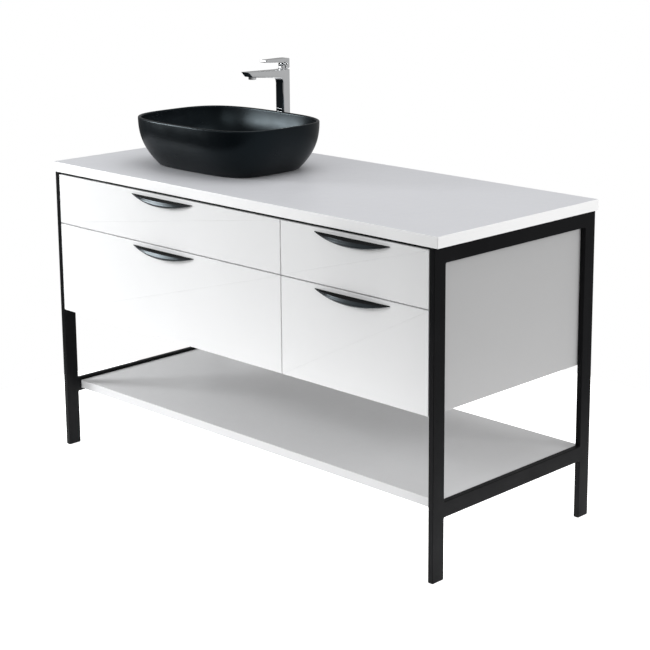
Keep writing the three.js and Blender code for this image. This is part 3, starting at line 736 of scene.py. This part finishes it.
def pull_section(s):
    """Section of the crescent at s from -1 to 1: back leaf, floor and a bellied lip that leans back."""
    bow = 1 - s * s
    reach = PULL_TIP + (PULL_REACH - PULL_TIP) * bow
    drop = PULL_TIP + (PULL_DROP - PULL_TIP) * bow
    rim = min(PULL_RIM, 0.4 * drop)
    wall = min(PULL_WALL, 0.34 * reach)
    r = 0.30 * min(reach, drop)
    lean = PULL_LEAN * reach
    foot, top = Vector((-reach, r - drop)), Vector((lean - reach, -rim - wall / 2))
    bulge = Vector((-reach, foot.y + 0.15 * (top.y - foot.y)))
    belly = bent(foot, bulge, top, [k / 9 for k in range(1, 10)])
    outer = [(0.0, 0.0), (0.0, -drop)] + arc(r - reach, r - drop, r, 270, 180, 6) + belly
    lip = arc(top.x + wall / 2, top.y, wall / 2, 180, 0, 6)[1:]
    inner = [(y + wall, max(z, wall - drop)) for y, z in reversed(belly[:-1])]
    floor = [(wall + r - reach, wall - drop), (-1.3 * wall, wall - drop),
             (-wall, 1.3 * wall - drop), (-wall, 0.0)]
    return outer + lip + inner + floor


def crescent(name, node, body):
    """A drawer's pull: satin outside, with a matt lining where it faces up or back."""
    lo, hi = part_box(node)
    cx, y, z = (lo.x + hi.x) / 2, hi.y, hi.z
    rings = []
    for i in range(PULL_SECTIONS + 1):
        s = math.sin(math.pi * (i / PULL_SECTIONS - 0.5))
        rings.append([(cx + s * HALF_PULL, y + a, z + b) for a, b in pull_section(s)])
    def lining(normal, centre):
        return 1 if normal.y > 0.3 or normal.z > 0.7 or centre.y > y - 1.2 * PULL_WALL else 0
    put(name, *skin(rings), [PULL, LINING], body, "black_gloss", node, pick=lining, sharp=50)


def slides(name, lo, hi):
    """Both sides' fixed channel, and the member with its screws that travels with the drawer."""
    for hand, sign in (("left", 1), ("right", -1)):
        rlo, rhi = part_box(f"{name}_runner_{hand}")
        web = rlo.x if sign > 0 else rhi.x
        depth, mid, t = rhi.x - rlo.x, (rlo.z + rhi.z) / 2, RUNNER_STEEL
        half_h = (rhi.z - rlo.z) / 2
        section = eased([(0, -half_h), (depth, -half_h), (depth, -half_h + t), (t, -half_h + t),
                         (t, half_h - t), (depth, half_h - t), (depth, half_h), (0, half_h)],
                        [r * MM for r in (2.2, 0.5, 0.5, 0.9, 0.9, 0.5, 0.5, 2.2)], 3)
        channel = slab([(web + sign * u, mid + v) for u, v in section], [], rlo.y, rhi.y,
                       0.15 * MM, xz, rounds=1)
        put(f"{name}_channel_{hand}", *channel, ZINC, "root", "zinc_steel",
            f"{name}_runner_{hand}", sharp=35)
        side = (lo.x if sign > 0 else hi.x) - sign * 0.3 * MM
        member = eased(MEMBER, MEMBER_RADII, 3)
        rail = slab([(side + sign * u * MM, mid + v * MM) for u, v in member], [],
                    rlo.y + 3 * MM, rhi.y - 2 * MM, 0.15 * MM, xz, rounds=1)
        put(f"{name}_slide_{hand}", *rail, ZINC, name, "zinc_steel", sharp=35)
        x = side - sign * 1.2 * MM
        ys = (rlo.y + 40 * MM, (rlo.y + rhi.y) / 2, rhi.y - 40 * MM)
        screws(f"{name}_slide_screws_{hand}", [((x, y, mid), (-sign, 0, 0)) for y in ys], name)


def drawer(name, notched):
    lo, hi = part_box(f"{name}_front")
    face = slab(round_rect(lo.x, hi.x, lo.z, hi.z, 1.0 * MM), [], lo.y, hi.y, 1.2 * MM, xz)
    put(f"{name}_panel", *face, WHITE, name, "white_lacquer", f"{name}_front")
    crescent(f"{name}_pull", f"{name}_handle", name)

    lo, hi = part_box(f"{name}_box")
    blo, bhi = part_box(f"{name}_base")
    def plan(inset):
        """The box's outline, drawn in by the inset, with its notch round the trap."""
        x0, x1, y0, y1 = lo.x + inset, hi.x - inset, lo.y + inset, hi.y - inset
        out = [(x0, y0), (x1, y0), (x1, y1)]
        if notched:
            reach = NOTCH_HALF + inset
            n0, n1, ny = BX - reach, BX + reach, BY - reach
            out += [(n1, y1), (n1, ny), (n0, ny), (n0, y1)]
        return out + [(x0, y1)]
    walls = slab(eased(plan(0), 0.9 * MM, 3), [eased(plan(BOX_WALL), 0.4 * MM, 2)],
                 lo.z, hi.z, 0.8 * MM, xy)
    put(f"{name}_walls", *walls, GREY, name, "grey_board", f"{name}_box")
    base = slab(plan(BOX_WALL + 0.3 * MM), [], blo.z, bhi.z, 0.3 * MM, xy)
    put(f"{name}_floor", *base, GREY, name, "grey_board", f"{name}_base")
    slides(name, lo, hi)


for row in ("top", "bottom"):
    for column in ("left", "right"):
        drawer(f"{row}_{column}_drawer", row == "top" and column == "left")


# ------------------------------------------------------------------ basin

FOOT_LENGTH, FOOT_WIDTH = 372 * MM, 262 * MM
BASIN_RIM, BASIN_FLOOR, BASIN_FALL = 7 * MM, 12 * MM, 6 * MM
BASIN_STEPS = 192
WALL_CURVE = 2.4
# Exponents of the outlines: 2 is round, more is squarer.
RIM_POWER, FOOT_POWER, ROUND = 3.3, 3.8, 2.0
# Height and inset of the rings round the edge the basin stands on.
FOOT_EDGE = ((0.0, 2.2), (0.4, 0.9), (1.3, 0.15))
WELL_RADIUS = 42 * MM
# Radius and height over the bowl's floor of the rings round the waste, down to the underside.
WASTE_SEAT = ((37, 0.35), (35, 0.0), (23, 0.0), (21.8, -0.5), (21.5, -1.6), (21.5, -11.0), (22.5, -12.0))


def superellipse(a, b, power, z):
    out = []
    for i in range(BASIN_STEPS):
        t = 2 * math.pi * i / BASIN_STEPS
        c, s = math.cos(t), math.sin(t)
        out.append((BX + a * math.copysign(abs(c) ** (2 / power), c),
                    BY + b * math.copysign(abs(s) ** (2 / power), s), BZ + z))
    return out


def mix(a, b, t):
    return a + (b - a) * t


def basin():
    height = basin_hi.z - basin_lo.z
    length, width = basin_hi.x - basin_lo.x, basin_hi.y - basin_lo.y
    def wall(z, share, inset):
        """A ring at z, inside the outline that the wall has at that share of its height."""
        turn = (1 - share) ** WALL_CURVE
        return superellipse(mix(length, FOOT_LENGTH, turn) / 2 - inset,
                            mix(width, FOOT_WIDTH, turn) / 2 - inset,
                            mix(RIM_POWER, FOOT_POWER, turn), z)
    shares = [0.012, 0.03] + [i / 24 for i in range(1, 24)] + [0.972]
    rings = [wall(z * MM, 0.0, inset * MM) for z, inset in FOOT_EDGE]
    rings += [wall(s * height, s, 0) for s in shares]
    crown = BASIN_RIM / 2
    for k in range(1, 10):
        a = math.pi * k / 10
        rings.append(wall(height - crown + crown * math.sin(a), 1.0, crown * (1 - math.cos(a))))
    edge = BASIN_FLOOR + BASIN_FALL
    rings += [wall(mix(edge, height, s), s, mix(2 * BASIN_RIM, BASIN_RIM, s)) for s in reversed(shares)]
    lx, ly = FOOT_LENGTH / 2 - 2 * BASIN_RIM, FOOT_WIDTH / 2 - 2 * BASIN_RIM
    for k in range(1, 9):
        t = k / 9
        rings.append(superellipse(mix(lx, WELL_RADIUS, t ** 1.1), mix(ly, WELL_RADIUS, t ** 1.1),
                                  mix(FOOT_POWER, ROUND, t),
                                  mix(edge - 1.2 * MM, BASIN_FLOOR + 1.0 * MM, t ** 0.7)))
    rings += [superellipse(r * MM, r * MM, ROUND, BASIN_FLOOR + z * MM) for r, z in WASTE_SEAT]
    put("basin_bowl", *skin(rings, closed=True), GLAZE, "root", "black_ceramic", "basin", sharp=60)


basin()


# ------------------------------------------------------------------ waste and trap

NUT_CHAMFER = 1.2 * MM


def knurled(radius, depth, z0, z1, hole, teeth):
    """A ribbed nut round an upright axis through the origin."""
    steps = teeth * 4
    def ring(r, z, rib):
        out = []
        for i in range(steps):
            a = 2 * math.pi * i / steps
            k = r - (rib if i % 4 in (2, 3) else 0.0)
            out.append((k * math.cos(a), k * math.sin(a), z))
        return out
    face = radius - NUT_CHAMFER
    return skin([ring(hole, z0, 0), ring(face, z0, 0), ring(radius, z0 + NUT_CHAMFER, depth),
                 ring(radius, z1 - NUT_CHAMFER, depth), ring(face, z1, 0), ring(hole, z1, 0)],
                closed=True)


def shifted(shape, x, y, z, axis="z"):
    verts, faces = shape
    if axis == "y":
        return [(a + x, c + y, b + z) for a, b, c in verts], faces
    return [(a + x, b + y, c + z) for a, b, c in verts], faces


def waste():
    """Flanged tail with a cross that holds the plug's stem, the plug's cover and the locknut."""
    lo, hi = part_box("waste_body")
    base, top = lo.z / MM, hi.z / MM
    flange = [(17.4, base), (20.0, base), (20.0, top - 2.4), (31.0, top - 2.4), (31.0, top - 1.8),
              (29.6, top), (18.4, top), (17.4, top - 0.8)]
    body = lathe(in_mm(softened_loop(flange, 0.6)), BX, BY, 0.0, 96)
    bars = []
    for quarter in range(4):
        c, s = round(math.cos(quarter * math.pi / 2)), round(math.sin(quarter * math.pi / 2))
        bars.append(slab(round_rect(7.4 * MM, 18.0 * MM, -2 * MM, 2 * MM, 0.5 * MM), [],
                         (top - 30.4) * MM, (top - 25.0) * MM, 0.4 * MM,
                         lambda u, v, w, c=c, s=s: (BX + c * u - s * v, BY + s * u + c * v, w)))
    guide = [(5.4, top - 30.7), (8.0, top - 30.7), (8.0, top - 24.7), (5.4, top - 24.7)]
    hub = lathe(in_mm(guide), BX, BY, 0.0, 32)
    put("waste_flange", *merged([body, hub, *bars]), CHROME, "root", "chrome", "waste_body", sharp=40)

    lo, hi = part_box("waste_plug")
    base, top = lo.z / MM, hi.z / MM
    dome = [(0.0, base), (5.0, base), (5.0, top - 3.5), (29.0, top - 3.5), (30.0, top - 2.6),
            (28.0, top - 1.1), (20.0, top - 0.3), (10.0, top - 0.05), (0.0, top)]
    put("waste_cover", *lathe(in_mm(softened(dome, 0.8)), BX, BY, 0.0, 96), CHROME, "waste_plug",
        "chrome", "waste_plug", sharp=45)

    lo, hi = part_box("waste_nut")
    nut = knurled(28 * MM, 1.6 * MM, lo.z, hi.z, 20.4 * MM, 18)
    put("waste_locknut", *shifted(nut, BX, BY, 0.0), CHROME, "root", "chrome", "waste_nut", sharp=30)


def trap():
    """Bottle with its two nuts, the cup under it and the pipe to the wall."""
    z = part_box("trap_body")[0].z
    bottle = [(27.5, 0.0), (30.0, 0.0), (30.0, 61.0), (28.6, 65.0), (24.0, 66.0), (16.0, 66.0),
              (16.0, 81.0), (25.0, 81.2), (25.0, 105.7), (20.4, 105.7), (20.4, 83.7), (13.5, 83.7),
              (13.5, 63.5), (21.5, 63.5), (27.5, 57.0)]
    stub = [(13.5, 26.0), (18.5, 26.0), (18.5, 52.0), (13.5, 52.0)]
    inlet = knurled(26.6 * MM, 1.3 * MM, 86 * MM, 104 * MM, 24.6 * MM, 22)
    outlet = knurled(21.0 * MM, 1.2 * MM, 50.2 * MM, 69.6 * MM, 16.6 * MM, 18)
    shape = merged([lathe(in_mm(softened_loop(bottle, 1.0)), BX, BY, z, 96),
                    lathe(in_mm(stub), BX, BY, OZ, 64, axis="y"),
                    shifted(inlet, BX, BY, z), shifted(outlet, BX, BY, OZ, axis="y")])
    put("trap_bottle", *shape, CHROME, "root", "chrome", "trap_body", sharp=40)

    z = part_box("trap_cup")[0].z
    cup = [(0.0, 0.0), (21.0, 0.0), (28.5, 4.0), (30.0, 9.0), (30.0, 18.0), (31.0, 19.0),
           (31.0, 32.6), (30.0, 33.7), (27.5, 33.7), (27.5, 9.0), (20.0, 2.5), (0.0, 2.5)]
    put("trap_cleanout", *lathe(in_mm(softened(cup, 1.2)), BX, BY, z, 96), CHROME, "root",
        "chrome", "trap_cup", sharp=45)

    pipe = [(13.5 * MM, outlet_lo.y), (16.0 * MM, outlet_lo.y),
            (16.0 * MM, outlet_hi.y), (13.5 * MM, outlet_hi.y)]
    put("trap_pipe", *lathe(pipe, BX, 0.0, OZ, 64, axis="y"), CHROME, "root", "chrome",
        "trap_outlet", sharp=45)


waste()
trap()


# ------------------------------------------------------------------ mixer

COLUMN_TOP = turret_lo.z - 0.3 * MM
HALF_W, HALF_D = 17 * MM, 14 * MM
COLUMN_CORNER = 7 * MM
SPOUT_TIP = -HALF_D - 125 * MM
SPOUT_HALF = 16 * MM
SPOUT_RISE = 3 * MM
SPOUT_ROOT = 21 * MM
THROAT = 14 * MM
TIP_HEIGHT, TIP_SLANT = 14 * MM, 13 * MM
IN_COLUMN = 2 * MM
PIVOT = COLUMN_TOP + 5 * MM
DOME = 11.5 * MM
HOLLOW = 12.8 * MM
BLADE_ROOT, BLADE_TIP = 10 * MM, 6 * MM
BLADE_REACH = 59 * MM
BLADE_HALF_TIP = 13 * MM
BLADE_TAPER = 0.4 * MM
APRON_HANG = 4.4 * MM


def at_mixer(u, v, w):
    return (MX + u, MY + v, w)


def upright(radius, z0, z1, steps):
    """A plain solid cylinder at the middle of the aerator."""
    lo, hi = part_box("mixer_aerator")
    return lathe([(0.0, z0), (radius, z0), (radius, z1), (0.0, z1)], MX, (lo.y + hi.y) / 2, 0.0, steps)


def chromed(name, mesh, body, node):
    mesh.materials.clear()
    mesh.materials.append(CHROME)
    own(name, mesh, body, "chrome", node, sharp=32)


def mixer_casting():
    """Column, spout, foot and shank in one piece, with the aerator's socket."""
    column = slab(round_rect(-HALF_W, HALF_W, -HALF_D, HALF_D, COLUMN_CORNER, 10), [],
                  BZ + 0.4 * MM, COLUMN_TOP, 0.9 * MM, at_mixer)
    flush = COLUMN_TOP - 0.02 * MM
    root = COLUMN_TOP - SPOUT_ROOT
    tip = COLUMN_TOP + SPOUT_RISE
    throat = Vector((-HALF_D - THROAT, root))
    side = [(IN_COLUMN, flush), (-HALF_D, flush), (SPOUT_TIP, tip),
            (SPOUT_TIP + TIP_SLANT, tip - TIP_HEIGHT), tuple(throat)]
    side += bent(throat, Vector((-HALF_D, root)), Vector((-HALF_D + 1 * MM, root - THROAT)),
                 [k / 10 for k in range(1, 11)])
    side += [(IN_COLUMN, root - THROAT)]
    spout = slab(side, [], -SPOUT_HALF, SPOUT_HALF, 2.4 * MM,
                 lambda u, v, w: (MX + w, MY + u, v), rounds=4)
    foot = lathe(in_mm([(0, 0), (25, 0), (25, 3.4), (23.6, 5), (0, 5)]), MX, MY, BZ, 96)
    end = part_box("mixer_body")[0].z
    shank = lathe([(0.0, end), (15 * MM, end), (16 * MM, end + 1 * MM), (16 * MM, BZ + 1 * MM),
                   (0.0, BZ + 1 * MM)], MX, MY, 0.0, 48)
    lo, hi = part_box("mixer_aerator")
    socket = upright(10.9 * MM, lo.z - 4 * MM, hi.z + 0.3 * MM, 64)
    chromed("mixer_casting", carved("mixer_casting", column, [socket], union=[spout, foot, shank]),
            "root", "mixer_body")


def mixer_aerator():
    lo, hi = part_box("mixer_aerator")
    depth = (hi.z - lo.z) / MM
    ring = [(7.5, 0.0), (9.9, 0.0), (10.5, 0.6), (10.5, depth), (7.5, depth)]
    put("mixer_aerator_ring", *lathe(in_mm(ring), MX, (lo.y + hi.y) / 2, lo.z, 64), CHROME,
        "root", "zinc_steel", "mixer_aerator", sharp=40)
    put("mixer_aerator_insert", *upright(7.6 * MM, lo.z + 1.2 * MM, lo.z + 3 * MM, 48),
        MESH_DARK, "root", "black_plastic", sharp=40)


def mixer_hub():
    """The domed part that turns under the lever."""
    z = turret_lo.z
    profile = [(0.0, z), (DOME - 0.5 * MM, z), (DOME, z + 0.5 * MM)] + arc(0.0, PIVOT, DOME, 0, 90, 16)
    put("mixer_hub", *lathe(profile, MX, MY, 0.0, 96), CHROME, "mixer_turret", "chrome",
        "mixer_turret", sharp=45)


def mixer_handle():
    """A tapered blade with an apron behind it, hollow over the dome."""
    lo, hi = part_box("mixer_lever")
    top, skirt = hi.z, lo.z
    end = -HALF_D - BLADE_REACH
    plan = eased([(HALF_W, HALF_D), (-HALF_W, HALF_D), (-HALF_W + BLADE_TAPER, -HALF_D),
                  (-BLADE_HALF_TIP, end), (BLADE_HALF_TIP, end), (HALF_W - BLADE_TAPER, -HALF_D)],
                 [r * MM for r in (7, 7, 40, 4.5, 4.5, 40)], 8)
    def thinned(p):
        t = min(1.0, max(0.0, (MY - HALF_D - p[1]) / BLADE_REACH))
        return (p[0], p[1], top - (top - p[2]) * mix(BLADE_ROOT, BLADE_TIP, t) / BLADE_ROOT)
    points, faces = slab(plan, [], top - BLADE_ROOT, top, 1.1 * MM, at_mixer)
    blade = ([thinned(p) for p in points], faces)
    half = [(x, y) for x, y in round_rect(-HALF_W, HALF_W, -HALF_D, HALF_D, COLUMN_CORNER, 8) if y > 0]
    half += [(-HALF_W, 0.5 * MM), (HALF_W, 0.5 * MM)]
    def slanted(p):
        at_skirt = p[2] < skirt + 1 * MM
        hang = max(0.0, 1 - (p[1] - MY) / HALF_D) * APRON_HANG if at_skirt else 0.0
        return (p[0], p[1], p[2] - hang)
    points, faces = slab(half, [], skirt, top - 2 * MM, 0.7 * MM, at_mixer)
    apron = ([slanted(p) for p in points], faces)
    hollow = lathe(arc(0.0, PIVOT, HOLLOW, -90, 90, 24), MX, MY, 0.0, 64)
    chromed("mixer_handle", carved("mixer_handle", blade, [hollow], union=[apron]),
            "mixer_lever", "mixer_lever")


mixer_casting()
mixer_aerator()
mixer_hub()
mixer_handle()
lo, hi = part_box("mixer_nut")
nut = knurled(22 * MM, 1.4 * MM, lo.z, hi.z, 16.4 * MM, 16)
put("mixer_locknut", *shifted(nut, MX, MY, 0.0), ZINC, "root", "zinc_steel", "mixer_nut", sharp=30)


# ------------------------------------------------------------------ floor, lights, camera

FLOOR_RADIUS = 1.25
FLOOR_SIDES = 96
FLOOR_Z = -0.0005
floor_mesh = bpy.data.meshes.new("studio_floor")
disc = circle(0.0, 0.0, FLOOR_RADIUS, FLOOR_SIDES)
floor_mesh.from_pydata([(0, 0, FLOOR_Z)] + [(x, y, FLOOR_Z) for x, y in disc], [],
                       [(0, i + 1, (i + 1) % FLOOR_SIDES + 1) for i in range(FLOOR_SIDES)])
floor_mesh.materials.append(floor_paper("studio_paper", (0.93, 0.93, 0.93)))
floor = bpy.data.objects.new("studio_floor", floor_mesh)
bpy.context.scene.collection.objects.link(floor)
floor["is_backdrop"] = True

# The camera sees plain white; every other ray sees a fill that is bright on one side only.
BRIGHT_SIDE = (0.45, 0.50, 0.90)
FILL_FROM, FILL_TO = -0.7, 0.5
FILL_LOW, FILL_HIGH = 0.05, 0.50
world = bpy.data.worlds.new("studio")
bpy.context.scene.world = world
world.use_nodes = True
room = world.node_tree.nodes
wires = world.node_tree.links
fill = room["Background"]
toward = room.new("ShaderNodeVectorMath")
toward.operation = "DOT_PRODUCT"
toward.inputs[1].default_value = BRIGHT_SIDE
spread = room.new("ShaderNodeMapRange")
spread.inputs["From Min"].default_value = FILL_FROM
spread.inputs["From Max"].default_value = FILL_TO
spread.inputs["To Min"].default_value = FILL_LOW
spread.inputs["To Max"].default_value = FILL_HIGH
wires.new(room.new("ShaderNodeTexCoord").outputs["Generated"], toward.inputs[0])
wires.new(toward.outputs["Value"], spread.inputs["Value"])
wires.new(spread.outputs["Result"], fill.inputs["Strength"])
backdrop = room.new("ShaderNodeBackground")
either = room.new("ShaderNodeMixShader")
for node in (fill, backdrop):
    node.inputs["Color"].default_value = (1.0, 1.0, 1.0, 1.0)
wires.new(room.new("ShaderNodeLightPath").outputs["Is Camera Ray"], either.inputs["Fac"])
wires.new(fill.outputs["Background"], either.inputs[1])
wires.new(backdrop.outputs["Background"], either.inputs[2])
wires.new(either.outputs["Shader"], room["World Output"].inputs["Surface"])


def softbox(name, place, target, width, height, power, colour=(1.0, 1.0, 1.0)):
    light = bpy.data.lights.new(name, "AREA")
    light.shape = "RECTANGLE"
    light.size, light.size_y = width, height
    light.energy = power
    light.color = colour
    obj = bpy.data.objects.new(name, light)
    bpy.context.scene.collection.objects.link(obj)
    obj.location = place
    obj.rotation_mode = "QUATERNION"
    obj.rotation_quaternion = (Vector(target) - Vector(place)).to_track_quat("-Z", "Y")
    return obj


softbox("key", (-2.1, -1.5, 1.25), (-0.2, -0.1, 0.7), 0.75, 0.75, 46.0, (0.97, 0.99, 1.0))
softbox("overhead", (0.2, 0.4, 3.4), (0.0, 0.0, 0.6), 2.6, 2.0, 30.0)
softbox("front", (-0.6, -3.6, 2.2), (0.0, 0.0, 0.7), 2.4, 1.6, 24.0)
# Gloss doesn't mirror the side light: from the right it turned the chrome and the glaze white.
side_light = softbox("side", (3.4, 0.9, 1.5), (0.6, 0.0, 0.5), 1.8, 1.8, 46.0)
side_light.visible_glossy = False

EYE = (3.0145, -2.9063, 1.5772)
AZIMUTH, ELEVATION, ROLL = math.radians(43.578), math.radians(12.091), math.radians(-0.052)
camera_data = bpy.data.cameras.new("camera")
camera_data.sensor_width = 36.0
camera_data.lens = 91.92
camera_data.shift_x, camera_data.shift_y = -0.08, -0.15
camera_data.clip_start, camera_data.clip_end = 0.05, 200.0
camera = bpy.data.objects.new("camera", camera_data)
bpy.context.scene.collection.objects.link(camera)
back = Vector((math.sin(AZIMUTH) * math.cos(ELEVATION), -math.cos(AZIMUTH) * math.cos(ELEVATION),
               math.sin(ELEVATION)))
level = Vector((0, 0, 1)).cross(back).normalized()
upward = back.cross(level)
right = math.cos(ROLL) * level + math.sin(ROLL) * upward
up = math.cos(ROLL) * upward - math.sin(ROLL) * level
turned = Matrix((right, up, back)).transposed().to_4x4()
camera.matrix_world = Matrix.Translation(EYE) @ turned
bpy.context.scene.camera = camera
bpy.context.scene.view_settings.view_transform = "Standard"

lo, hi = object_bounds()
